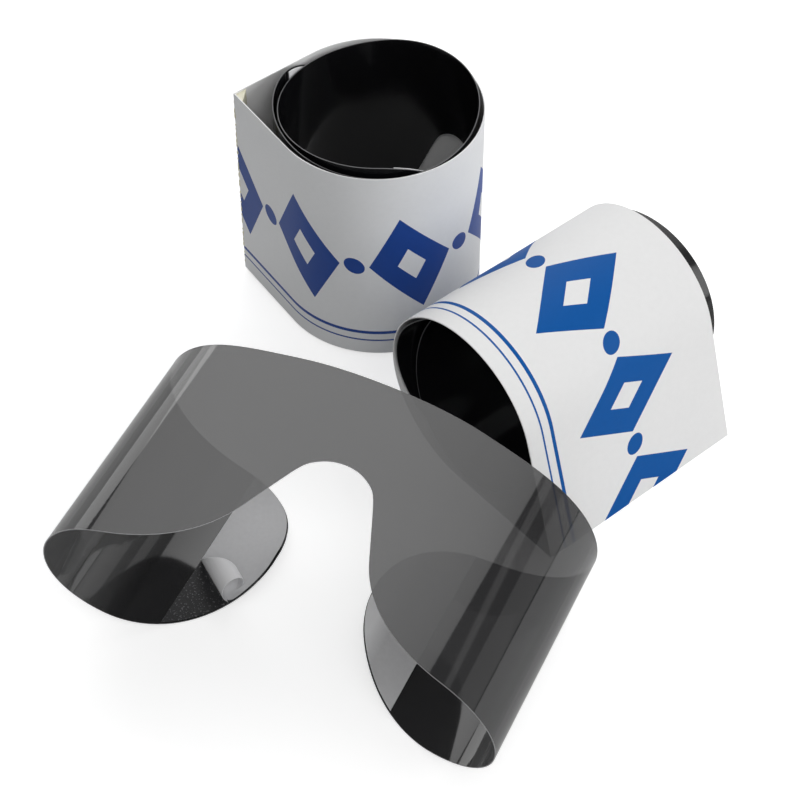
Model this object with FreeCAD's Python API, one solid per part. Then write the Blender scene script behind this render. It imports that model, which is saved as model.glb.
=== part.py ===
import FreeCAD, Part
import math
import os

Vector = FreeCAD.Vector

# Dark wrap-around shields worn after the pupils have been widened with drops.
# Each pair is one flexible tinted film, curled by its own set, with a grip pad
# stuck on the inside of each temple tip and a paper liner over each pad.
# Three pairs stand on one table: one opened out, and two still rolled in a paper
# sleeve, the first upright and the second on its side.
# Millimetres, Z up, origin on the table under the middle of the group.

# Film blank, laid flat. Distances run from the nose centre to a temple tip,
# heights from the lowest edge of the lenses to the top of the brow.
film_thickness = 0.25
film_half_length = 133.0
film_height = 68.0
nose_bridge_depth = 26.9
nose_arch_radius = 11.0
nose_flank_slope = math.radians(68.0)
lens_corner_radius = 29.6
lens_end_slope = math.radians(16.0)
lower_tip_radius = 48.0
lower_tip_slope = math.radians(58.0)
tip_end_radius = 28.0
tip_top_radius = 23.5
tip_flat_inset = 0.1
brow_dip_depth = 3.6
brow_dip_distance = 50.0

# Grip pad, and the paper liner over it, on the inside of each temple tip
pad_length = 18.6
pad_thickness = 0.3
pad_edge_inset = 0.5
pad_seat_gap = 0.02
liner_thickness = 0.12
liner_seat_gap = 0.15
liner_edge_inset = 0.2

# Bends of the opened pair, as radii, and how far each lies from the nose
brow_bend_radius = 2000.0
shoulder_distance = 26.6
curl_start_distance = 53.2
curl_end_distance = 79.8
ear_distance = 106.4
left_shoulder_bend_radius = 134.0
left_curl_start_radius = 25.7
left_curl_end_radius = 24.7
left_ear_bend_radius = 31.5
left_tip_bend_radius = 22.3
right_shoulder_bend_radius = 98.0
right_curl_start_radius = 27.1
right_curl_end_radius = 19.1
right_ear_bend_radius = 37.6
right_tip_bend_radius = 194.0

# Place of the opened pair
open_nose_x = -15.29
open_nose_y = -44.45
open_turn = math.radians(24.7)
open_datum_height = 37.5

# Corner of the left liner that is peeled back from its pad
peel_fold_height = 36.5
peel_fold_slope = math.radians(37.0)
peel_scroll_start_radius = 4.1
peel_scroll_end_radius = 2.4
peel_scroll_start_angle = math.radians(231.0)
peel_lift = 0.15
peel_stations = 24
peel_tip_share = 0.97

# Rolled pairs, wound with the right temple tip inside
coil_layer_pitch = 1.2
sleeve_strip_length = 187.0
sleeve_height = 64.5
sleeve_thickness = 0.3
sleeve_clearance = 0.3
glue_depth = 2.5
glue_end_margin = 0.5

upright_coil_radius = 27.9
upright_x = -7.24
upright_y = 72.15
upright_crease_direction = math.radians(171.9)
upright_nose_direction = math.radians(32.0)
upright_film_below_sleeve = 0.8

lying_coil_radius = 25.9
lying_x = 14.06
lying_y = -0.05
lying_axis_direction = math.radians(90.0 - 49.6)
lying_nose_lean = math.radians(40.0)
lying_film_before_sleeve = 0.2

# Spacing of the stations along a strip, and the fineness of the solved sizes
station_step = 2.0
least_station_spacing = 0.05
tip_stations = 12
span_stations = 10
bend_step = 0.25
halvings = 60
steepest_tilt = math.radians(28.0)


def chain_start(height):
    """An edge of the film that starts level over the nose at this height."""
    return [(0.0, height, 0.0, 0.0)]


def add_bend(chain, radius, end_slope):
    """Bend the edge to a new slope; a positive radius turns it upwards."""
    distance, height, slope, old_bend = chain.pop()
    bend = 1.0 / radius
    chain.append((distance, height, slope, bend))
    new_distance = distance + (math.sin(end_slope) - math.sin(slope)) / bend
    new_height = height + (math.cos(slope) - math.cos(end_slope)) / bend
    chain.append((new_distance, new_height, end_slope, 0.0))


def add_straight(chain, length):
    """Carry the edge on straight at its slope."""
    distance, height, slope, bend = chain[-1]
    new_distance = distance + length * math.cos(slope)
    new_height = height + length * math.sin(slope)
    chain.append((new_distance, new_height, slope, 0.0))


def add_wave(chain, length, rise):
    """Carry a level edge up or down to a new level through two equal arcs."""
    slope = 2.0 * math.atan(rise / length)
    radius = length / (2.0 * math.sin(slope))
    add_bend(chain, radius, slope)
    add_bend(chain, -radius, 0.0)


def edge_height(chain, distance):
    """Height of an edge at a distance from the nose centre."""
    stretch = chain[0]
    for candidate in chain:
        if candidate[0] <= distance:
            stretch = candidate
    start, height, slope, bend = stretch
    if bend == 0.0:
        return height + (distance - start) * math.tan(slope)
    sine = math.sin(slope) + bend * (distance - start)
    cosine = math.sqrt(max(0.0, 1.0 - sine * sine))
    return height + (math.cos(slope) - cosine) / bend


def film_lower_edge():
    """Nose arch, its straight flank, the lens edge and the underside of the tip."""
    arch_top = film_height - nose_bridge_depth
    drop_by_arcs = (nose_arch_radius + lens_corner_radius) * (1.0 - math.cos(nose_flank_slope))
    flank = (arch_top - drop_by_arcs) / math.sin(nose_flank_slope)
    chain = chain_start(arch_top)
    add_bend(chain, -nose_arch_radius, -nose_flank_slope)
    add_straight(chain, flank)
    add_bend(chain, lens_corner_radius, 0.0)
    lens_low_distance = chain[-1][0]
    lower_tip_run = lower_tip_radius * (math.sin(lower_tip_slope) - math.sin(lens_end_slope))
    tip_end_run = tip_end_radius * (1.0 - math.sin(lower_tip_slope))
    lens_run = film_half_length - lens_low_distance - lower_tip_run - tip_end_run
    add_bend(chain, lens_run / math.sin(lens_end_slope), lens_end_slope)
    add_bend(chain, lower_tip_radius, lower_tip_slope)
    add_bend(chain, tip_end_radius, math.pi / 2.0)
    return chain


def film_upper_edge(tip_height):
    """Brow over the nose, its dips over the lenses and the top corner of the tip."""
    corner_distance = film_half_length - tip_top_radius
    corner_height = tip_height + tip_top_radius
    dip_height = film_height - brow_dip_depth
    chain = chain_start(film_height)
    add_wave(chain, brow_dip_distance, -brow_dip_depth)
    add_wave(chain, corner_distance - brow_dip_distance, corner_height - dip_height)
    add_bend(chain, -tip_top_radius, -math.pi / 2.0)
    return chain


lower_edge = film_lower_edge()
upper_edge = film_upper_edge(lower_edge[-1][1])


def edges_at(distance):
    """Lower and upper edge of the film, alike on both sides of the nose."""
    away = abs(distance)
    return edge_height(lower_edge, away), edge_height(upper_edge, away)


def stations(start, end):
    """Distances for the rulings of a strip, closer together towards a tip."""
    corner = film_half_length - tip_top_radius
    marks = [start, end]
    count = int(2.0 * film_half_length / station_step)
    for number in range(count + 1):
        mark = -film_half_length + number * station_step
        if abs(mark) < corner:
            marks.append(mark)
    reach = tip_top_radius - tip_flat_inset
    for number in range(tip_stations + 1):
        share = math.sin(0.5 * math.pi * number / tip_stations)
        marks.append(corner + reach * share)
        marks.append(-corner - reach * share)
    kept = sorted(mark for mark in marks if start <= mark <= end)
    spaced = [kept[0]]
    for mark in kept[1:]:
        if mark - spaced[-1] > least_station_spacing:
            spaced.append(mark)
    spaced[-1] = end
    return spaced


class Bent:
    """A surface bent one way only: a bent line, carried along a straight ruling."""

    def __init__(self, origin, forward, up, ruling, line):
        self.origin = origin
        self.forward = forward
        self.up = up
        self.ruling = ruling
        self.line = line

    def at(self, distance, height, inward):
        """Point at a distance along the strip, a height across it and inwards."""
        run, rise, angle = self.line(distance)
        run += inward * math.sin(angle)
        rise -= inward * math.cos(angle)
        return self.origin + self.forward * run + self.up * rise + self.ruling * height


def curves(points, marks, spans):
    """One smooth edge through points, cut into its spans."""
    whole = Part.BSplineCurve()
    whole.interpolate(Points=points, Parameters=marks)
    pieces = []
    for first, last in spans:
        piece = whole.copy()
        piece.segment(marks[first], marks[last])
        pieces.append(piece.toShape())
    return pieces


def strip(surface, marks, heights, inner, outer):
    """Thin closed solid on a bent surface, between two depths inwards."""
    same_way = 1
    last_mark = len(marks) - 1
    spans = []
    for first in range(0, last_mark, span_stations):
        spans.append((first, min(first + span_stations, last_mark)))
    edges = {}
    for depth in (inner, outer):
        for side in (0, 1):
            points = []
            for mark in marks:
                points.append(surface.at(mark, heights(mark)[side], depth))
            edges[depth, side] = curves(points, marks, spans)
    faces = []
    for number in range(len(spans)):
        for depth in (inner, outer):
            low, high = edges[depth, 0][number], edges[depth, 1][number]
            faces.append(Part.makeRuledSurface(low, high, same_way))
        for side in (0, 1):
            near, far = edges[inner, side][number], edges[outer, side][number]
            faces.append(Part.makeRuledSurface(near, far, same_way))
    for mark in (marks[0], marks[-1]):
        low, high = heights(mark)
        corners = [surface.at(mark, low, inner), surface.at(mark, high, inner)]
        corners += [surface.at(mark, high, outer), surface.at(mark, low, outer)]
        faces.append(Part.Face(Part.makePolygon(corners + corners[:1])))
    shell = Part.Shell(faces)
    shell.sewShape()
    solid = Part.Solid(shell)
    if solid.Volume < 0:
        solid.reverse()
    return solid


def film_solid(surface):
    """The whole tinted film, tip to tip."""
    reach = film_half_length - tip_flat_inset
    half = film_thickness / 2.0
    return strip(surface, stations(-reach, reach), edges_at, -half, half)


def tip_strip(surface, side, inset, inner, outer, lowest=None):
    """Strip over one temple tip, drawn in from the film's edges by an inset."""
    first = film_half_length - pad_length
    last = film_half_length - tip_flat_inset - inset

    def heights(distance):
        low, high = edges_at(distance)
        low += inset
        if lowest is not None:
            low = max(low, lowest(abs(distance)))
        return low, high - inset

    if side > 0:
        marks = stations(first, last)
    else:
        marks = stations(-last, -first)
    return strip(surface, marks, heights, inner, outer)


pad_inner = film_thickness / 2.0 + pad_seat_gap
pad_outer = pad_inner + pad_thickness
liner_inner = pad_outer + liner_seat_gap
liner_outer = liner_inner + liner_thickness


def pad_solid(surface, side):
    """Adhesive grip pad on the inside of a temple tip."""
    return tip_strip(surface, side, pad_edge_inset, pad_inner, pad_outer)


def liner_solid(surface, side, lowest=None):
    """Paper liner that covers a grip pad."""
    return tip_strip(surface, side, liner_edge_inset, liner_inner, liner_outer, lowest)


def fold_height(distance):
    """Height of the peeled liner's fold line on the film."""
    fold_start = film_half_length - pad_length
    return peel_fold_height - math.tan(peel_fold_slope) * (distance - fold_start)


def fold_end_distance():
    """Where the fold line runs out over the lower edge of the liner."""
    low = film_half_length - pad_length
    high = film_half_length - tip_flat_inset
    for number in range(halvings):
        middle = 0.5 * (low + high)
        if fold_height(middle) > edge_height(lower_edge, middle) + liner_edge_inset:
            low = middle
        else:
            high = middle
    return low


def peeled_scroll(surface, side):
    """The liner's loose corner, rolled back over itself from the fold line."""
    fold_start = film_half_length - pad_length
    fold_end = fold_end_distance()
    depth = 0.5 * (liner_inner + liner_outer) + peel_lift
    start = surface.at(side * fold_start, fold_height(fold_start), depth)
    end = surface.at(side * fold_end, fold_height(fold_end), depth)
    corner_height = edge_height(lower_edge, fold_start) + liner_edge_inset
    corner = surface.at(side * fold_start, corner_height, depth)
    along = end - start
    fold_length = along.Length
    along.normalize()
    middle = 0.5 * (fold_start + fold_end)
    above = surface.at(side * middle, fold_height(middle), depth + liner_thickness)
    up = above - surface.at(side * middle, fold_height(middle), depth)
    up = up - along * up.dot(along)
    up.normalize()
    back = up.cross(along)
    if back.dot(start - corner) < 0:
        back = back * -1.0
    corner_along = (corner - start).dot(along)
    flap = -(corner - start).dot(back)
    shrink = peel_scroll_end_radius - peel_scroll_start_radius

    def line(travel):
        radius = peel_scroll_start_radius + shrink * travel / flap
        turned = flap / shrink * math.log(radius / peel_scroll_start_radius)
        angle = peel_scroll_start_angle - turned
        run = radius * math.cos(angle) - peel_scroll_start_radius * math.cos(peel_scroll_start_angle)
        rise = radius * math.sin(angle) - peel_scroll_start_radius * math.sin(peel_scroll_start_angle)
        return run, rise, angle - math.pi / 2.0

    def ends(travel):
        share = travel / flap
        return corner_along * share, fold_length + (corner_along - fold_length) * share

    marks = []
    for number in range(peel_stations + 1):
        marks.append(peel_tip_share * flap * number / peel_stations)
    half = liner_thickness / 2.0
    return strip(Bent(start, back, up, along, line), marks, ends, -half, half)


def open_bend(away, side):
    """How sharply the opened film bends at a distance from the nose."""
    if side > 0:
        radii = [brow_bend_radius, right_shoulder_bend_radius, right_curl_start_radius]
        radii += [right_curl_end_radius, right_ear_bend_radius, right_tip_bend_radius]
    else:
        radii = [brow_bend_radius, left_shoulder_bend_radius, left_curl_start_radius]
        radii += [left_curl_end_radius, left_ear_bend_radius, left_tip_bend_radius]
    places = [0.0, shoulder_distance, curl_start_distance, curl_end_distance]
    places += [ear_distance, film_half_length]
    for number in range(len(places) - 1):
        if away <= places[number + 1]:
            share = (away - places[number]) / (places[number + 1] - places[number])
            blend = 0.5 - 0.5 * math.cos(math.pi * share)
            return (1.0 - blend) / radii[number] + blend / radii[number + 1]
    return 1.0 / radii[-1]


def open_side(side):
    """One half of the opened pair from the side, level at the nose, in short steps."""
    count = int(math.ceil(film_half_length / bend_step))
    step = film_half_length / count
    rows = [(0.0, 0.0, 0.0)]
    for number in range(count):
        run, rise, slope = rows[-1]
        turn = side * step * open_bend((number + 0.5) * step, side)
        middle = slope - 0.5 * turn
        run += side * step * math.cos(middle)
        rise += side * step * math.sin(middle)
        rows.append((run, rise, slope - turn))
    return rows


open_sides = {-1: open_side(-1), 1: open_side(1)}


def lowest_rise(rows, tilt):
    """Lowest point of one half when the pair is tilted about the nose."""
    return min(rise * math.cos(tilt) + run * math.sin(tilt) for run, rise, slope in rows)


def resting_tilt():
    """Tilt at which both curls of the opened pair touch the table."""
    low = -steepest_tilt
    high = steepest_tilt
    for number in range(halvings):
        tilt = 0.5 * (low + high)
        if lowest_rise(open_sides[1], tilt) < lowest_rise(open_sides[-1], tilt):
            low = tilt
        else:
            high = tilt
    return tilt


open_tilt = resting_tilt()
open_nose_height = 0.5 * film_thickness - lowest_rise(open_sides[1], open_tilt)


def open_line(distance):
    """Side view of the opened pair: run, rise and slope at a distance from the nose."""
    rows = open_sides[1 if distance > 0 else -1]
    place = abs(distance) / film_half_length * (len(rows) - 1)
    number = min(int(place), len(rows) - 2)
    share = place - number
    run, rise, slope = (a + (b - a) * share for a, b in zip(rows[number], rows[number + 1]))
    cosine = math.cos(open_tilt)
    sine = math.sin(open_tilt)
    return run * cosine - rise * sine, run * sine + rise * cosine, slope + open_tilt


def coil_line(outer_radius):
    """End view of a rolled film, nose centre at the top, left tip outside."""
    climb = coil_layer_pitch / (2.0 * math.pi)
    outermost = outer_radius - film_thickness / 2.0
    turned = (outermost - math.sqrt(outermost ** 2 - 2.0 * climb * film_half_length)) / climb
    middle = outermost - climb * turned

    def line(distance):
        turn = (middle - math.sqrt(middle ** 2 - 2.0 * climb * distance)) / climb
        radius = middle - climb * turn
        return radius * math.sin(turn), radius * math.cos(turn), -math.atan(climb / radius) - turn

    return line


def crease_reach(radius):
    """How far the sleeve's crease lies from its centre, for a given round part."""
    low = radius
    high = sleeve_strip_length
    for number in range(halvings):
        reach = 0.5 * (low + high)
        round_part = 2.0 * radius * (math.pi - math.acos(radius / reach))
        if 2.0 * math.sqrt(reach ** 2 - radius ** 2) + round_part < sleeve_strip_length:
            low = reach
        else:
            high = reach
    return low


def teardrop(centre, crease, across, radius, reach):
    """Closed outline, round with two flat sides that meet in a crease."""
    half_angle = math.acos(radius / reach)
    touch = crease * (radius * math.cos(half_angle))
    rise = across * (radius * math.sin(half_angle))
    tip = centre + crease * reach
    upper = centre + touch + rise
    lower = centre + touch - rise
    arc = Part.Arc(upper, centre - crease * radius, lower).toShape()
    return Part.Wire([Part.makeLine(tip, upper), arc, Part.makeLine(lower, tip)])


def sleeve_solid(base, crease, axis, radius):
    """Paper sleeve: one strip wrapped round the coil, its ends joined in a crease."""
    across = axis.cross(crease)
    reach = crease_reach(radius)
    outer_radius = radius + sleeve_thickness
    outer = teardrop(base, crease, across, outer_radius, reach * outer_radius / radius)
    inner = teardrop(base, crease, across, radius, reach)
    height = axis * sleeve_height
    return Part.Face(outer).extrude(height).cut(Part.Face(inner).extrude(height))


def glue_solid(base, crease, axis, radius):
    """Bead of glue inside the crease, between the joined ends of the strip."""
    across = axis.cross(crease)
    reach = crease_reach(radius)
    spread = glue_depth * radius / math.sqrt(reach ** 2 - radius ** 2)
    start = base + axis * glue_end_margin
    tip = start + crease * reach
    back = start + crease * (reach - glue_depth)
    outline = Part.makePolygon([tip, back + across * spread, back - across * spread, tip])
    return Part.Face(outline).extrude(axis * (sleeve_height - 2.0 * glue_end_margin))


def rolled_pair(name, base, nose, crease, axis, coil_radius, film_before_sleeve):
    """One rolled pair: film, pads and liners, and the sleeve with its glued crease."""
    centre = base - axis * film_before_sleeve
    surface = Bent(centre, axis.cross(nose), nose, axis, coil_line(coil_radius))
    sleeve_radius = coil_radius + sleeve_clearance
    return {
        name + "_film": film_solid(surface),
        name + "_left_grip_pad": pad_solid(surface, -1),
        name + "_right_grip_pad": pad_solid(surface, 1),
        name + "_left_liner": liner_solid(surface, -1),
        name + "_right_liner": liner_solid(surface, 1),
        name + "_sleeve": sleeve_solid(base, crease, axis, sleeve_radius),
        name + "_sleeve_glue": glue_solid(base, crease, axis, sleeve_radius),
    }


def open_pair():
    """The opened pair, its tips curled under, one liner's corner peeled back."""
    ruling = Vector(math.sin(open_turn), math.cos(open_turn), 0.0)
    forward = Vector(math.cos(open_turn), -math.sin(open_turn), 0.0)
    origin = Vector(open_nose_x, open_nose_y, open_nose_height) - ruling * open_datum_height
    surface = Bent(origin, forward, Vector(0.0, 0.0, 1.0), ruling, open_line)
    peeled = liner_solid(surface, -1, fold_height)
    return {
        "open_film": film_solid(surface),
        "open_left_grip_pad": pad_solid(surface, -1),
        "open_right_grip_pad": pad_solid(surface, 1),
        "open_left_liner": Part.makeCompound([peeled, peeled_scroll(surface, -1)]),
        "open_right_liner": liner_solid(surface, 1),
    }


def upright_pair():
    """The rolled pair that stands on end, brow up."""
    crease_turn = upright_crease_direction
    nose_turn = upright_nose_direction
    crease = Vector(math.cos(crease_turn), math.sin(crease_turn), 0.0)
    nose = Vector(math.cos(nose_turn), math.sin(nose_turn), 0.0)
    up = Vector(0.0, 0.0, 1.0)
    base = Vector(upright_x, upright_y, upright_film_below_sleeve)
    below = upright_film_below_sleeve
    return rolled_pair("upright", base, nose, crease, up, upright_coil_radius, below)


def lying_pair():
    """The rolled pair that lies on a flat side of its sleeve."""
    turn = lying_axis_direction
    axis = Vector(math.cos(turn), math.sin(turn), 0.0)
    aside = Vector(math.sin(turn), -math.cos(turn), 0.0)
    up = Vector(0.0, 0.0, 1.0)
    radius = lying_coil_radius + sleeve_clearance
    dip = math.asin(radius / crease_reach(radius))
    crease = aside * math.cos(dip) - up * math.sin(dip)
    nose = up * math.cos(lying_nose_lean) + aside * math.sin(lying_nose_lean)
    base = Vector(lying_x, lying_y, radius + sleeve_thickness)
    before = lying_film_before_sleeve
    return rolled_pair("lying", base, nose, crease, axis, lying_coil_radius, before)


os.makedirs("parts", exist_ok=True)
pieces = {}
for pair in (open_pair(), upright_pair(), lying_pair()):
    pieces.update(pair)
for name, shape in pieces.items():
    shape.exportStep("parts/" + name + ".step")
    print(name, "solids", len(shape.Solids), "volume", round(shape.Volume, 2), "valid", shape.isValid())
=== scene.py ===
import logging
import math
from dataclasses import dataclass
from enum import Enum

import bpy
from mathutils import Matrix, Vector


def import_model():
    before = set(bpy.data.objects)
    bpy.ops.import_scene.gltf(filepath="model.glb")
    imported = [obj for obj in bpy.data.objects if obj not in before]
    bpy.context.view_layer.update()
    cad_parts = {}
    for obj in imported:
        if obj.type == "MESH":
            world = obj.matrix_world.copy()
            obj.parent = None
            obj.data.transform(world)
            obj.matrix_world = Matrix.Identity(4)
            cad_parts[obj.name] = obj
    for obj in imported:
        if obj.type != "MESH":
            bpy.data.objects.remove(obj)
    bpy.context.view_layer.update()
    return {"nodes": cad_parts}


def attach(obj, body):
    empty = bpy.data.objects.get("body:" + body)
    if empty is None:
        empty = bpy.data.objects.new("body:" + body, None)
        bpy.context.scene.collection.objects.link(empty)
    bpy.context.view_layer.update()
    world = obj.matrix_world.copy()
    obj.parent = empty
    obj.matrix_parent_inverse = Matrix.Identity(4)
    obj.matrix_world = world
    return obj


log = logging.getLogger("scene")

MM = 0.001
UP = Vector((0.0, 0.0, 1.0))

Colour = tuple[float, float, float]
Triple = tuple[float, float, float]


class Side(Enum):
    """The wearer's two sides."""

    LEFT = "left"
    RIGHT = "right"


class Pair(Enum):
    """The three pairs on the table."""

    OPEN = "open"
    UPRIGHT = "upright"
    LYING = "lying"


class Graph:
    """A node tree, with one way to add a node to it."""

    def __init__(self, tree: bpy.types.NodeTree) -> None:
        """Keeps the tree."""
        self.tree = tree

    def plug(self, value: object, socket: bpy.types.NodeSocket) -> None:
        """Links a socket to another or to a shader number, or sets its value.

        Args:
            value: A number in the shader, an output socket or a plain value.
            socket: The input socket.
        """
        source = value.socket if isinstance(value, Num) else value
        if isinstance(source, bpy.types.NodeSocket):
            self.tree.links.new(source, socket)
        elif socket.type == "RGBA":
            socket.default_value = (*source, 1.0)
        else:
            socket.default_value = source

    def node(
        self,
        kind: str,
        settings: dict[str, object] | None = None,
        inputs: dict[int | str, object] | None = None,
    ) -> bpy.types.Node:
        """Adds one node.

        Args:
            kind: The node's type.
            settings: Its settings by name, which are set before its sockets.
            inputs: Values or links of its sockets, by place or name.

        Returns:
            The node.
        """
        node = self.tree.nodes.new(kind)
        for name, value in (settings or {}).items():
            setattr(node, name, value)
        for key, value in (inputs or {}).items():
            self.plug(value, node.inputs[key])
        return node


class Num:
    """A number inside a shader, with the arithmetic of an ordinary number."""

    def __init__(self, graph: Graph, socket: bpy.types.NodeSocket) -> None:
        """Keeps the graph and the socket that the number comes from."""
        self.graph = graph
        self.socket = socket

    def maths(self, kind: str, *values: "Num | float") -> "Num":
        """Puts a maths node on some values.

        Args:
            kind: The maths node's operation.
            values: Its inputs in order.

        Returns:
            The node's result.
        """
        node = self.graph.node("ShaderNodeMath", {"operation": kind}, dict(enumerate(values)))
        return Num(self.graph, node.outputs[0])

    def __add__(self, other: "Num | float") -> "Num":
        """Sum."""
        return self.maths("ADD", self, other)

    def __radd__(self, other: float) -> "Num":
        """Sum with a plain value first."""
        return self.maths("ADD", other, self)

    def __sub__(self, other: "Num | float") -> "Num":
        """Difference."""
        return self.maths("SUBTRACT", self, other)

    def __rsub__(self, other: float) -> "Num":
        """Difference from a plain value."""
        return self.maths("SUBTRACT", other, self)

    def __mul__(self, other: "Num | float") -> "Num":
        """Product."""
        return self.maths("MULTIPLY", self, other)

    def __rmul__(self, other: float) -> "Num":
        """Product with a plain value first."""
        return self.maths("MULTIPLY", other, self)

    def __truediv__(self, other: "Num | float") -> "Num":
        """Quotient."""
        return self.maths("DIVIDE", self, other)

    def __rtruediv__(self, other: float) -> "Num":
        """Quotient of a plain value by this number."""
        return self.maths("DIVIDE", other, self)

    def __lt__(self, other: "Num | float") -> "Num":
        """1 where this is the smaller, else 0."""
        return self.maths("LESS_THAN", self, other)

    def __gt__(self, other: "Num | float") -> "Num":
        """1 where this is the larger, else 0."""
        return self.maths("GREATER_THAN", self, other)

    def __or__(self, other: "Num | float") -> "Num":
        """The larger of two, which joins two masks."""
        return self.maths("MAXIMUM", self, other)

    def __ror__(self, other: float) -> "Num":
        """The larger of a plain value and this number."""
        return self.maths("MAXIMUM", other, self)

    def __and__(self, other: "Num | float") -> "Num":
        """The smaller of two, which keeps what two masks share."""
        return self.maths("MINIMUM", self, other)

    def __rand__(self, other: float) -> "Num":
        """The smaller of a plain value and this number."""
        return self.maths("MINIMUM", other, self)

    def __abs__(self) -> "Num":
        """Size without sign."""
        return self.maths("ABSOLUTE", self)

    def sign(self) -> "Num":
        """1 above nought, -1 below it."""
        return self.maths("SIGN", self)

    def root(self) -> "Num":
        """Square root."""
        return self.maths("SQRT", self)

    def angle(self, along: "Num") -> "Num":
        """Angle of the direction with this height and that length along, in radians."""
        return self.maths("ARCTAN2", self, along)

    def wrap(self, low: float, high: float) -> "Num":
        """Brought into a range by whole periods."""
        return self.maths("WRAP", self, high, low)


class Shader(Graph):
    """A node material with one principled surface."""

    def __init__(self, name: str) -> None:
        """Makes the material and its coordinates.

        Args:
            name: The material's name.
        """
        self.material = bpy.data.materials.new(name)
        self.material.use_nodes = True
        super().__init__(self.material.node_tree)
        self.surface = self.tree.nodes["Principled BSDF"]
        coordinates = self.node("ShaderNodeTexCoord")
        self.place = coordinates.outputs["Object"]
        self.facing = coordinates.outputs["Normal"]

    def set(self, **values: float) -> None:
        """Sets constant inputs of the surface, with _ for a blank in their names."""
        for key, value in values.items():
            self.plug(value, self.surface.inputs[key.replace("_", " ")])

    def feed(self, name: str, source: "Num | bpy.types.NodeSocket") -> None:
        """Links a varying input of the surface."""
        self.plug(source, self.surface.inputs[name])

    def noise(self, size: float, detail: float = 2.0) -> Num:
        """Cloudy noise from 0 to 1.

        Args:
            size: Rough size of a cloud, in metres.
            detail: Layers of finer noise.

        Returns:
            The noise.
        """
        inputs = {"Vector": self.place, "Scale": 1.0 / size, "Detail": detail}
        return Num(self, self.node("ShaderNodeTexNoise", None, inputs).outputs["Fac"])

    def dot(self, vector: bpy.types.NodeSocket, direction: Vector) -> Num:
        """Share of a vector that lies along a direction.

        Args:
            vector: The vector.
            direction: The direction, one unit long.

        Returns:
            The share.
        """
        settings = {"operation": "DOT_PRODUCT"}
        node = self.node("ShaderNodeVectorMath", settings, {0: vector, 1: direction})
        return Num(self, node.outputs["Value"])

    def along(self, origin: Vector, direction: Vector) -> Num:
        """Distance of a point from an origin along a direction, in metres."""
        return self.dot(self.place, direction) - origin.dot(direction)

    def height(self) -> Num:
        """Height above the table, in metres."""
        return self.dot(self.place, UP)

    def mix(
        self,
        share: Num,
        low: "Colour | bpy.types.NodeSocket",
        high: "Colour | bpy.types.NodeSocket",
    ) -> bpy.types.NodeSocket:
        """Blends two colours.

        Args:
            share: 0 for the first colour, 1 for the second.
            low: First colour, or a socket.
            high: Second colour, or a socket.

        Returns:
            The blended colour.
        """
        factor, first, second, result = 0, 6, 7, 2
        inputs = {factor: share, first: low, second: high}
        return self.node("ShaderNodeMix", {"data_type": "RGBA"}, inputs).outputs[result]

    def bump(self, height: Num, strength: float, distance: float) -> None:
        """Roughens the surface by a height.

        Args:
            height: The height, from 0 to 1.
            strength: How much of it is felt.
            distance: How far it rises, in metres.
        """
        inputs = {"Strength": strength, "Distance": distance, "Height": height}
        self.feed("Normal", self.node("ShaderNodeBump", None, inputs).outputs["Normal"])


@dataclass(frozen=True)
class FilmFinish:
    """Smoke-grey film, glossy on both sides, slightly smudged, with its edges painted paler as a
    painted highlight.

    A face is an edge of the sheet where it faces along the ruling, the direction in which
    the bent film is straight. Over the last few millimetres above the table the film lets
    less and less through, because the table under it is in its shadow.
    """

    name: str
    ruling: Vector
    shade: Colour = (0.010, 0.010, 0.011)
    faint: Colour = (0.014, 0.014, 0.015)
    # painted highlight: the paler colour of the sheet's edges
    edge_highlight: Colour = (0.34, 0.34, 0.35)
    cut_facing: float = 0.3
    cut_roughness: float = 0.3
    opacity: float = 0.79
    smudge: float = 0.03
    smudge_size: float = 30.0 * MM
    gloss: float = 0.04
    ior: float = 1.74
    shadow_height: float = 12.0 * MM

    def make(self) -> bpy.types.Material:
        """Mixes the film's colours and gloss.

        Returns:
            The film's material.
        """
        shader = Shader(self.name)
        cloud = shader.noise(self.smudge_size)
        edge = abs(shader.dot(shader.facing, self.ruling)) > self.cut_facing
        face = shader.mix(cloud, self.shade, self.faint)
        # the sheet's edges get a painted highlight, a paler colour
        shader.feed("Base Color", shader.mix(edge, face, self.edge_highlight))
        roughness = cloud * self.smudge + self.gloss + edge * self.cut_roughness
        shader.feed("Roughness", roughness)
        shadow = (1.0 - shader.height() / self.shadow_height) | 0.0
        shader.feed("Alpha", (edge | shadow) * (1.0 - self.opacity) + self.opacity)
        shader.set(IOR=self.ior)
        return shader.material


@dataclass(frozen=True)
class RolledFilmFinish(FilmFinish):
    """The same film painted darker as painted shade where several layers lie on each other and
    look black.
    """

    # painted shade: darker colours for the layers of the roll
    shade: Colour = (0.004, 0.004, 0.005)
    faint: Colour = (0.006, 0.006, 0.007)
    # a dimmer painted highlight on the rolled sheet's edges
    edge_highlight: Colour = (0.12, 0.12, 0.125)
    opacity: float = 0.9
    gloss: float = 0.12
    ior: float = 1.42


@dataclass(frozen=True)
class PadFinish:
    """Dark pressure-sensitive adhesive with pale specks of air under it."""

    name: str
    base: Colour = (0.03, 0.03, 0.032)
    speck: Colour = (0.16, 0.16, 0.165)
    speck_size: float = 0.5 * MM
    speck_detail: float = 3.0
    speck_threshold: float = 0.62
    roughness: float = 0.35
    roughness_range: float = 0.3
    relief: float = 0.4
    relief_height: float = 0.2 * MM

    def make(self) -> bpy.types.Material:
        """Mixes the adhesive's colours and gloss.

        Returns:
            The adhesive's material.
        """
        shader = Shader(self.name)
        grain = shader.noise(self.speck_size, self.speck_detail)
        specked = shader.mix(grain > self.speck_threshold, self.base, self.speck)
        shader.feed("Base Color", specked)
        shader.feed("Roughness", grain * self.roughness_range + self.roughness)
        shader.bump(grain, self.relief, self.relief_height)
        return shader.material


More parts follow.
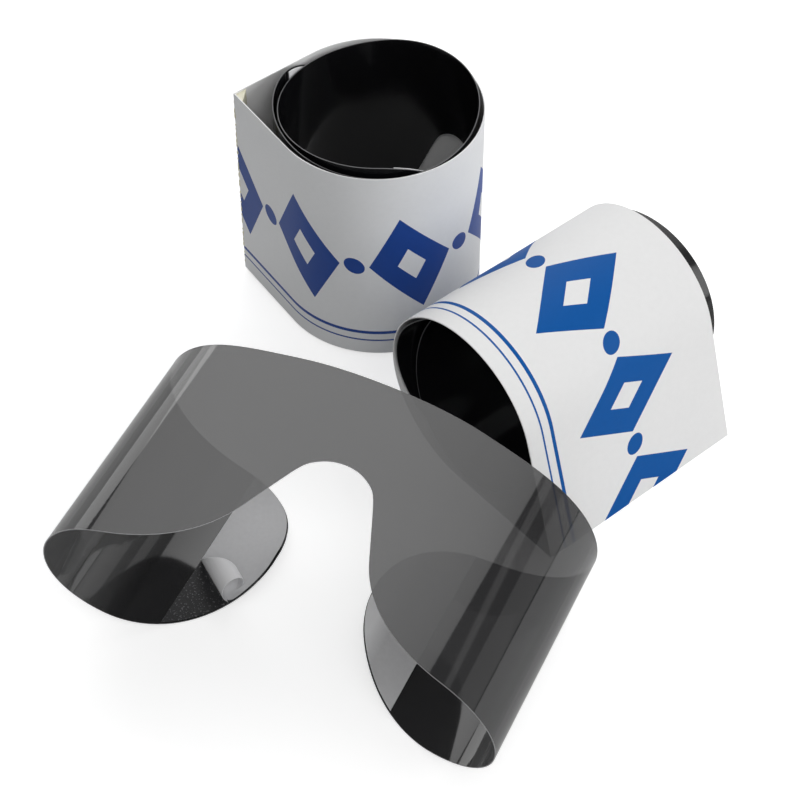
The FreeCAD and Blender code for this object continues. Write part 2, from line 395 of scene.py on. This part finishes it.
@dataclass(frozen=True)
class LinerFinish:
    """Pale grey release paper, with a paler underside that shows where it curls up, painted paler
    still as a painted highlight.
    """

    name: str
    base: Colour = (0.55, 0.55, 0.56)
    faint: Colour = (0.63, 0.63, 0.64)
    # where the liner curls up: its paler underside plus a painted highlight
    underside_and_highlight: Colour = (0.90, 0.90, 0.91)
    curl_height: float = 3.6 * MM
    curl_rise: float = 1.5 * MM
    fibre_size: float = 1.2 * MM
    fibre_detail: float = 4.0
    roughness: float = 0.5
    roughness_range: float = 0.15
    relief: float = 0.15
    relief_height: float = 0.1 * MM

    def make(self) -> bpy.types.Material:
        """Mixes the paper's colours and gloss.

        Returns:
            The paper's material.
        """
        shader = Shader(self.name)
        fibre = shader.noise(self.fibre_size, self.fibre_detail)
        curl = (shader.height() - self.curl_height) / self.curl_rise
        flat = shader.mix(fibre, self.base, self.faint)
        # the curled part takes the paler underside colour, which also carries a painted highlight
        shader.feed("Base Color", shader.mix((curl | 0.0) & 1.0, flat, self.underside_and_highlight))
        shader.feed("Roughness", fibre * self.roughness_range + self.roughness)
        shader.bump(fibre, self.relief, self.relief_height)
        return shader.material


@dataclass(frozen=True)
class GlueFinish:
    """Dried yellowish seam glue."""

    name: str
    base: Colour = (0.74, 0.70, 0.50)
    faint: Colour = (0.80, 0.78, 0.66)
    cloud_size: float = 4.0 * MM
    cloud_detail: float = 3.0
    roughness: float = 0.4
    roughness_range: float = 0.2

    def make(self) -> bpy.types.Material:
        """Mixes the glue's colours and gloss.

        Returns:
            The glue's material.
        """
        shader = Shader(self.name)
        cloud = shader.noise(self.cloud_size, self.cloud_detail)
        shader.feed("Base Color", shader.mix(cloud, self.base, self.faint))
        shader.feed("Roughness", cloud * self.roughness_range + self.roughness)
        return shader.material


@dataclass(frozen=True)
class Wrap:
    """Where a sleeve's strip of paper runs: round a coil and out to a crease."""

    base: Vector
    axis: Vector
    crease: Vector
    radius: float
    thickness: float = 0.3 * MM
    strip_length: float = 187.0 * MM
    height: float = 64.5 * MM
    halvings: int = 60

    def reach(self) -> float:
        """Distance from the coil's middle to the crease, found by halving a range.

        Returns:
            The distance at which the strip's length is used up.
        """
        low, high = self.radius, self.strip_length
        for _ in range(self.halvings):
            middle = 0.5 * (low + high)
            arc = 2.0 * self.radius * (math.pi - math.acos(self.radius / middle))
            flats = 2.0 * math.sqrt(middle**2 - self.radius**2)
            if arc + flats < self.strip_length:
                low = middle
            else:
                high = middle
        return low

    def coordinates(self, shader: Shader) -> tuple[Num, Num, Num]:
        """Numbers that follow the strip over its surface.

        Args:
            shader: The paper's shader.

        Returns:
            Distance round the strip from opposite the crease, height along the coil,
            and 1 on the strip's outside.
        """
        across = self.axis.cross(self.crease)
        out = shader.along(self.base, self.crease)
        aside = shader.along(self.base, across)
        half = math.acos(self.radius / self.reach())
        round_end = math.pi - half
        size = abs(aside.angle(out * -1.0))
        far = size > round_end
        flat_run = out * math.sin(half) - abs(aside) * math.cos(half) + self.radius * round_end
        round_run = size * self.radius
        distance = (round_run + (flat_run - round_run) * far) * aside.sign()
        from_middle = (out * out + aside * aside).root()
        from_flat = out * math.cos(half) + abs(aside) * math.sin(half)
        level = from_middle + (from_flat - from_middle) * far
        outside = level > (self.radius + 0.5 * self.thickness)
        return distance, shader.along(self.base, self.axis), outside


@dataclass(frozen=True)
class SleeveFinish:
    """Satin white paper with a plain blue print of lozenges, discs and rules."""

    name: str
    wrap: Wrap
    paper: Colour = (0.80, 0.80, 0.80)
    paper_faint: Colour = (0.84, 0.84, 0.84)
    # inside of the paper: its own unprinted colour, made paler as painted light for the shaded
    # inside
    inner_with_painted_light: Colour = (0.88, 0.88, 0.88)
    ink: Colour = (0.001, 0.085, 0.33)
    ink_faint: Colour = (0.002, 0.095, 0.37)
    sheen: float = 0.12
    roughness: float = 0.42
    roughness_range: float = 0.1
    relief: float = 0.08
    relief_height: float = 0.1 * MM
    fibre_size: float = 1.5 * MM
    fibre_detail: float = 4.0
    cell: float = 31.0 * MM
    lozenge_half_width: float = 11.5 * MM
    lozenge_half_height: float = 17.0 * MM
    lozenge_hole: float = 0.34
    lean: float = 0.2
    disc_radius: float = 2.8 * MM
    band_height: float = 33.0 * MM
    rule_height: float = 8.0 * MM
    rule_width: float = 1.1 * MM
    rule_gap: float = 3.0 * MM

    def row(self, along: Num, level: Num) -> Num:
        """Mask of the leaning lozenges with the discs between them.

        Args:
            along: Distance round the strip.
            level: Height over the row's middle line.

        Returns:
            1 on a lozenge or disc.
        """
        half_cell = 0.5 * self.cell
        sheared = along - level * self.lean
        near = sheared.wrap(-half_cell, half_cell)
        size = abs(near) / self.lozenge_half_width + abs(level) / self.lozenge_half_height
        lozenge = (size < 1.0) * (size > self.lozenge_hole)
        between = (sheared + half_cell).wrap(-half_cell, half_cell)
        return lozenge | ((between * between + level * level) < self.disc_radius**2)

    def rules(self, height: Num) -> Num:
        """Mask of the rule and the finer one under it.

        Args:
            height: Height along the coil.

        Returns:
            1 on a rule.
        """
        rule = abs(height - self.rule_height) < 0.5 * self.rule_width
        fine = abs(height - (self.rule_height - self.rule_gap)) < 0.25 * self.rule_width
        return rule | fine

    def make(self) -> bpy.types.Material:
        """Mixes the printed paper's colours and gloss.

        Returns:
            The printed paper's material.
        """
        shader = Shader(self.name)
        along, height, outside = self.wrap.coordinates(shader)
        printed = (self.row(along, height - self.band_height) | self.rules(height)) * outside
        fibre = shader.noise(self.fibre_size, self.fibre_detail)
        outer = shader.mix(fibre, self.paper, self.paper_faint)
        # the inside takes the unprinted colour, which also carries painted light
        paper = shader.mix(outside, self.inner_with_painted_light, outer)
        ink = shader.mix(fibre, self.ink, self.ink_faint)
        shader.feed("Base Color", shader.mix(printed, paper, ink))
        shader.feed("Roughness", fibre * self.roughness_range + self.roughness)
        shader.set(Specular_IOR_Level=self.sheen)
        shader.bump(fibre, self.relief, self.relief_height)
        return shader.material


@dataclass(frozen=True)
class ShadedSleeveFinish(SleeveFinish):
    """The same paper and print with painted shade for the upright pair: a deeper blue and a
    little darker, cooler paper, which is also glossier.
    """

    # painted shade: the upright pair's paper a little darker
    paper: Colour = (0.77, 0.78, 0.79)
    paper_faint: Colour = (0.81, 0.82, 0.83)
    # painted shade: the upright pair's print in a deeper blue
    ink: Colour = (0.004, 0.047, 0.26)
    ink_faint: Colour = (0.006, 0.055, 0.30)
    sheen: float = 0.3


@dataclass(frozen=True)
class FloorFinish:
    """Pale studio floor, white to the camera and shaded where the object stands."""

    name: str
    base: Colour = (0.66, 0.66, 0.66)
    faint: Colour = (0.67, 0.67, 0.67)
    cloud_size: float = 0.4
    dark: Colour = (0.0, 0.0, 0.0)
    lift: Colour = (0.6, 0.6, 0.6)
    mirrored: float = 0.25

    def make(self) -> bpy.types.Material:
        """Mixes the floor's colours and gloss.

        Returns:
            The floor's material.
        """
        shader = Shader(self.name)
        cloud = shader.noise(self.cloud_size)
        shader.feed("Base Color", shader.mix(cloud, self.base, self.faint))
        path = shader.node("ShaderNodeLightPath").outputs
        camera, glossy, through = (
            Num(shader, path[name])
            for name in ("Is Camera Ray", "Is Glossy Ray", "Is Transmission Ray")
        )
        seen = camera | (glossy * self.mirrored) | through
        shader.feed("Emission Color", shader.mix(seen, self.dark, self.lift))
        shader.set(Roughness=1.0, Emission_Strength=1.0)
        return shader.material


def dress(node: bpy.types.Object, material: bpy.types.Material) -> None:
    """Gives a piece its material in every material slot.

    Args:
        node: The piece.
        material: Its material.
    """
    if not node.material_slots:
        node.data.materials.append(material)
    for slot in node.material_slots:
        slot.material = material
    log.info("dressed %s", node.name)


def dress_grips(pair: Pair, nodes: dict[str, bpy.types.Object]) -> None:
    """Gives a pair's grip pads and liners their finishes.

    Args:
        pair: The pair.
        nodes: The frame's pieces by name.
    """
    pad = PadFinish(f"{pair.value}_pad_finish").make()
    liner = LinerFinish(f"{pair.value}_liner_finish").make()
    for side in Side:
        dress(nodes[f"{pair.value}_{side.value}_grip_pad"], pad)
        dress(nodes[f"{pair.value}_{side.value}_liner"], liner)


@dataclass
class OpenPair:
    """The opened pair."""

    turn: float = math.radians(24.7)

    def dress(self, nodes: dict[str, bpy.types.Object]) -> None:
        """Gives every piece its finish.

        Args:
            nodes: The frame's pieces by name.
        """
        ruling = Vector((math.sin(self.turn), math.cos(self.turn), 0.0))
        dress(nodes["open_film"], FilmFinish("open_film_finish", ruling).make())
        dress_grips(Pair.OPEN, nodes)


@dataclass
class RolledPair:
    """A rolled pair in its printed paper sleeve."""

    pair: Pair
    wrap: Wrap
    print_finish: SleeveFinish

    def dress(self, nodes: dict[str, bpy.types.Object]) -> None:
        """Gives every piece its finish.

        Args:
            nodes: The frame's pieces by name.
        """
        name = self.pair.value
        film = RolledFilmFinish(f"{name}_film_finish", self.wrap.axis)
        dress(nodes[f"{name}_film"], film.make())
        dress_grips(self.pair, nodes)
        dress(nodes[f"{name}_sleeve"], self.print_finish.make())
        dress(nodes[f"{name}_sleeve_glue"], GlueFinish(f"{name}_glue_finish").make())


@dataclass
class GlueSpecks:
    """Dried specks of glue along a sleeve's crease, strewn by Geometry Nodes."""

    pair: Pair
    wrap: Wrap
    count: int = 34
    seed: int = 7
    drop_radius: float = 0.45 * MM
    drop_fineness: int = 3
    spread: Triple = (0.05 * MM, 0.35 * MM, 0.9 * MM)
    smallest: Triple = (0.4, 0.4, 0.5)
    largest: Triple = (0.8, 1.0, 2.6)
    inset: float = 3.0 * MM

    def tree(self, material: bpy.types.Material) -> bpy.types.NodeTree:
        """Node group that strews small flattened drops along a line.

        Args:
            material: The drops' material.

        Returns:
            The node group, with named inputs.
        """
        tree = bpy.data.node_groups.new("specks", "GeometryNodeTree")
        kinds = {
            "Geometry": "NodeSocketGeometry",
            "Count": "NodeSocketInt",
            "Seed": "NodeSocketInt",
            "Drop Radius": "NodeSocketFloat",
            "First End": "NodeSocketVector",
            "Last End": "NodeSocketVector",
            "Spread": "NodeSocketVector",
        }
        for name, kind in kinds.items():
            tree.interface.new_socket(name, in_out="INPUT", socket_type=kind)
        tree.interface.new_socket("Geometry", in_out="OUTPUT", socket_type=kinds["Geometry"])
        graph = Graph(tree)
        given = graph.node("NodeGroupInput").outputs
        seed = given["Seed"]
        line = graph.node(
            "GeometryNodeMeshLine",
            {"mode": "END_POINTS"},
            {
                "Count": given["Count"],
                "Start Location": given["First End"],
                "Offset": given["Last End"],
            },
        )
        back = graph.node(
            "ShaderNodeVectorMath", {"operation": "SCALE"}, {0: given["Spread"], "Scale": -1.0}
        )
        vector = {"data_type": "FLOAT_VECTOR"}
        limits = {0: back.outputs[0], 1: given["Spread"], "Seed": seed}
        shift = graph.node("FunctionNodeRandomValue", vector, limits)
        moved = {"Geometry": line.outputs["Mesh"], "Offset": shift.outputs[0]}
        points = graph.node("GeometryNodeSetPosition", None, moved)
        shape = {"Radius": given["Drop Radius"], "Subdivisions": self.drop_fineness}
        drop = graph.node("GeometryNodeMeshIcoSphere", None, shape)
        limits = {0: self.smallest, 1: self.largest, "Seed": seed}
        size = graph.node("FunctionNodeRandomValue", vector, limits)
        placed = {
            "Points": points.outputs["Geometry"],
            "Instance": drop.outputs["Mesh"],
            "Scale": size.outputs[0],
        }
        strewn = graph.node("GeometryNodeInstanceOnPoints", None, placed).outputs["Instances"]
        real = graph.node("GeometryNodeRealizeInstances", None, {"Geometry": strewn})
        dressed = graph.node(
            "GeometryNodeSetMaterial",
            None,
            {"Geometry": real.outputs["Geometry"], "Material": material},
        )
        graph.node("NodeGroupOutput", None, {"Geometry": dressed.outputs["Geometry"]})
        return tree

    def build(self) -> None:
        """Bakes the specks into a mesh that rides on the sleeve."""
        name = self.pair.value
        tip = self.wrap.crease * (self.wrap.reach() + self.wrap.thickness)
        first = self.wrap.base + tip + self.wrap.axis * self.inset
        last = first + self.wrap.axis * (self.wrap.height - 2.0 * self.inset)
        mesh = bpy.data.meshes.new(f"{name}_glue_specks")
        piece = bpy.data.objects.new(f"{name}_glue_specks", mesh)
        bpy.context.scene.collection.objects.link(piece)
        tree = self.tree(GlueFinish(f"{name}_speck_finish").make())
        sizes = {
            "Count": self.count,
            "Seed": self.seed,
            "Drop Radius": self.drop_radius,
            "First End": first,
            "Last End": last,
            "Spread": self.spread,
        }
        modifier = piece.modifiers.new("specks", "NODES")
        modifier.node_group = tree
        for socket in tree.interface.items_tree:
            if socket.in_out == "INPUT" and socket.name in sizes:
                value = sizes[socket.name]
                if isinstance(value, (int, float)):
                    modifier[socket.identifier] = value
                else:
                    modifier[socket.identifier][:] = tuple(value)
        bpy.context.view_layer.update()
        graph = bpy.context.evaluated_depsgraph_get()
        baked = bpy.data.meshes.new_from_object(piece.evaluated_get(graph))
        piece.modifiers.remove(modifier)
        piece.data = baked
        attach(piece, f"{name}_sleeve")
        log.info("built %s", piece.name)


@dataclass(frozen=True)
class Lamp:
    """One soft rectangular lamp, with its middle and sides in metres and its power in watts.

    A spread below 180 degrees makes it fade towards its rim.
    """

    name: str
    place: Triple
    sides: tuple[float, float]
    power: float
    spread: float = math.radians(180.0)

    def hang(self, target: Vector) -> None:
        """Hangs the lamp so that it faces a target.

        Args:
            target: The point that it faces.
        """
        data = bpy.data.lights.new(self.name, "AREA")
        data.shape = "RECTANGLE"
        data.size, data.size_y = self.sides
        data.energy = self.power
        data.spread = self.spread
        lamp = bpy.data.objects.new(self.name, data)
        lamp.location = self.place
        aim = target - Vector(self.place)
        lamp.rotation_euler = aim.to_track_quat("-Z", "Y").to_euler()
        bpy.context.scene.collection.objects.link(lamp)


@dataclass
class Studio:
    """Floor, lamps and camera."""

    target: Vector
    distance: float = 0.625
    pitch: float = math.radians(48.0)
    lens: float = 103.5
    sensor_width: float = 36.0
    floor_half: float = 4.0
    room_colour: tuple[float, float, float, float] = (1.0, 1.0, 1.0, 1.0)
    room_light: float = 0.24
    lamps: tuple[Lamp, ...] = (
        Lamp("fill", (0.2, -0.9, 1.2), (0.9, 0.6), 6.0),
        Lamp("front right", (1.3, -0.5, 0.6), (0.8, 0.9), 8.0),
        Lamp("back", (0.27, 1.7, 1.35), (3.9, 2.8), 29.0, math.radians(125.0)),
        Lamp("low left", (-0.92, 1.78, 0.28), (0.8, 0.54), 2.0),
        Lamp("right", (1.55, 0.65, 1.09), (0.9, 0.24), 0.24),
        Lamp("low right", (1.36, 0.36, 0.30), (0.8, 0.50), 0.4),
    )

    def camera(self) -> None:
        """Places the camera at the photograph's viewing angle."""
        data = bpy.data.cameras.new("camera")
        data.lens = self.lens
        data.sensor_width = self.sensor_width
        camera = bpy.data.objects.new("camera", data)
        back = Vector((0.0, -math.cos(self.pitch), math.sin(self.pitch)))
        camera.location = self.target + back * self.distance
        camera.rotation_euler = (math.pi / 2.0 - self.pitch, 0.0, 0.0)
        bpy.context.scene.collection.objects.link(camera)
        bpy.context.scene.camera = camera

    def floor(self) -> None:
        """Lays a wide pale floor under the object."""
        mesh = bpy.data.meshes.new("floor")
        half = self.floor_half
        corners = [(-half, -half, 0.0), (half, -half, 0.0), (half, half, 0.0), (-half, half, 0.0)]
        mesh.from_pydata(corners, [], [(0, 1, 2, 3)])
        floor = bpy.data.objects.new("floor", mesh)
        bpy.context.scene.collection.objects.link(floor)
        dress(floor, FloorFinish("floor_finish").make())

    def room(self) -> None:
        """Fills the room with even light."""
        world = bpy.data.worlds.new("room")
        world.use_nodes = True
        background = world.node_tree.nodes["Background"]
        background.inputs["Color"].default_value = self.room_colour
        background.inputs["Strength"].default_value = self.room_light
        bpy.context.scene.world = world

    def build(self) -> None:
        """Sets up the whole studio."""
        self.camera()
        self.floor()
        self.room()
        for lamp in self.lamps:
            lamp.hang(self.target)
        bpy.context.scene.view_settings.view_transform = "Standard"


def upright_wrap() -> Wrap:
    """Places the upright sleeve.

    Returns:
        Where its strip runs.
    """
    turn = math.radians(171.9)
    base = Vector((-7.24, 72.15, 0.8)) * MM
    radius = 28.2 * MM
    return Wrap(base, UP, Vector((math.cos(turn), math.sin(turn), 0.0)), radius)


def lying_wrap() -> Wrap:
    """Places the lying sleeve, with its crease on the table.

    Returns:
        Where its strip runs.
    """
    turn = math.radians(90.0 - 49.6)
    base = Vector((14.06, -0.05, 26.5)) * MM
    radius = 26.2 * MM
    axis = Vector((math.cos(turn), math.sin(turn), 0.0))
    aside = Vector((math.sin(turn), -math.cos(turn), 0.0))
    dip = math.asin(radius / Wrap(base, axis, aside, radius).reach())
    return Wrap(base, axis, aside * math.cos(dip) - UP * math.sin(dip), radius)


def main() -> None:
    """Builds the scene."""
    logging.basicConfig(level=logging.INFO)
    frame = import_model()
    nodes = frame["nodes"]
    upright = upright_wrap()
    lying = lying_wrap()
    OpenPair().dress(nodes)
    upright_print = ShadedSleeveFinish("upright_sleeve_finish", upright)
    RolledPair(Pair.UPRIGHT, upright, upright_print).dress(nodes)
    GlueSpecks(Pair.UPRIGHT, upright).build()
    lying_print = SleeveFinish("lying_sleeve_finish", lying)
    RolledPair(Pair.LYING, lying, lying_print).dress(nodes)
    Studio(Vector((-1.24, 26.83, 0.0)) * MM).build()


if __name__ == "__main__":
    main()
